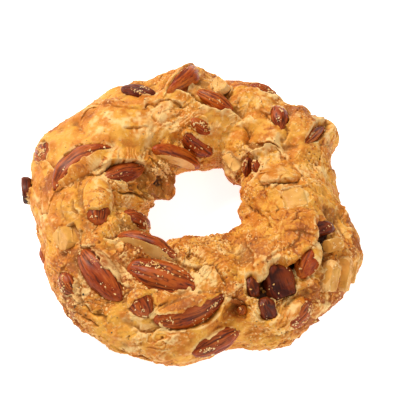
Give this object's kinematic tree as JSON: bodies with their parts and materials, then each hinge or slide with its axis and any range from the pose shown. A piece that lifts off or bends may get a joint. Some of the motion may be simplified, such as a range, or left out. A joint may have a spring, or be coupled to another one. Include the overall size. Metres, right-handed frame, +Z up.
{
  "type": "tarallo",
  "caption": "Baked ring of two twisted strands of lard dough, crusty and uneven, with whole, split and broken almonds set in it.",
  "frame": {"origin": "middle of the ring's bounding box in X and Y, at the height of the surface it rests on", "axes": "+Z up out of the surface it rests on, -Y towards the side that the picture is taken from, +X to the right in it"},
  "size_m": [0.11, 0.1104, 0.032],
  "materials": {
    "dough": "baked lard dough, matt and crumbly with a faint oily sheen",
    "almond_skin": "toasted almond skin, finely wrinkled, low sheen",
    "almond_flesh": "bare almond, smooth and waxy"
  },
  "bodies": {
    "root": {"dough": "dough", "almond_crescent": "almond_skin", "almond_inner_left": "almond_skin", "almond_left_top": "almond_skin", "almond_left_edge": "almond_skin", "almond_coated": "almond_skin", "almond_chunk_left": "almond_flesh", "almond_large_left": "almond_skin", "almond_lower_left": "almond_skin", "almond_large_middle": "almond_skin", "almond_split": "almond_skin", "almond_hole_edge": "almond_skin", "almond_tip_down": "almond_skin", "almond_long_crescent": "almond_skin", "almond_bottom": "almond_skin", "almond_in_crater": "almond_skin", "almond_crevice_upper": "almond_skin", "almond_crevice_lower": "almond_skin", "almond_crevice_block": "almond_skin", "almond_right_round": "almond_skin", "almond_right_dark": "almond_skin", "almond_slice_inner": "almond_flesh", "almond_slice_outer": "almond_flesh", "almond_slice_edge": "almond_flesh", "almond_wedge_right": "almond_flesh", "almond_lower_right": "almond_skin", "almond_top_large": "almond_skin", "almond_top_left": "almond_skin", "almond_top_band": "almond_skin", "almond_top_right": "almond_skin", "almond_chunk_top": "almond_flesh", "almond_upright": "almond_skin", "almond_thin_right": "almond_skin", "almond_inner_sliver": "almond_skin", "almond_inner_whole": "almond_skin", "almond_split_inner": "almond_skin", "almond_chunk_inner": "almond_flesh", "almond_chip_a": "almond_skin", "almond_chip_b": "almond_skin", "almond_slab_right": "almond_flesh", "almond_back_left": "almond_skin", "almond_back": "almond_skin", "almond_outer_right": "almond_skin", "almond_outer_left": "almond_skin"}
  },
  "joints": []
}
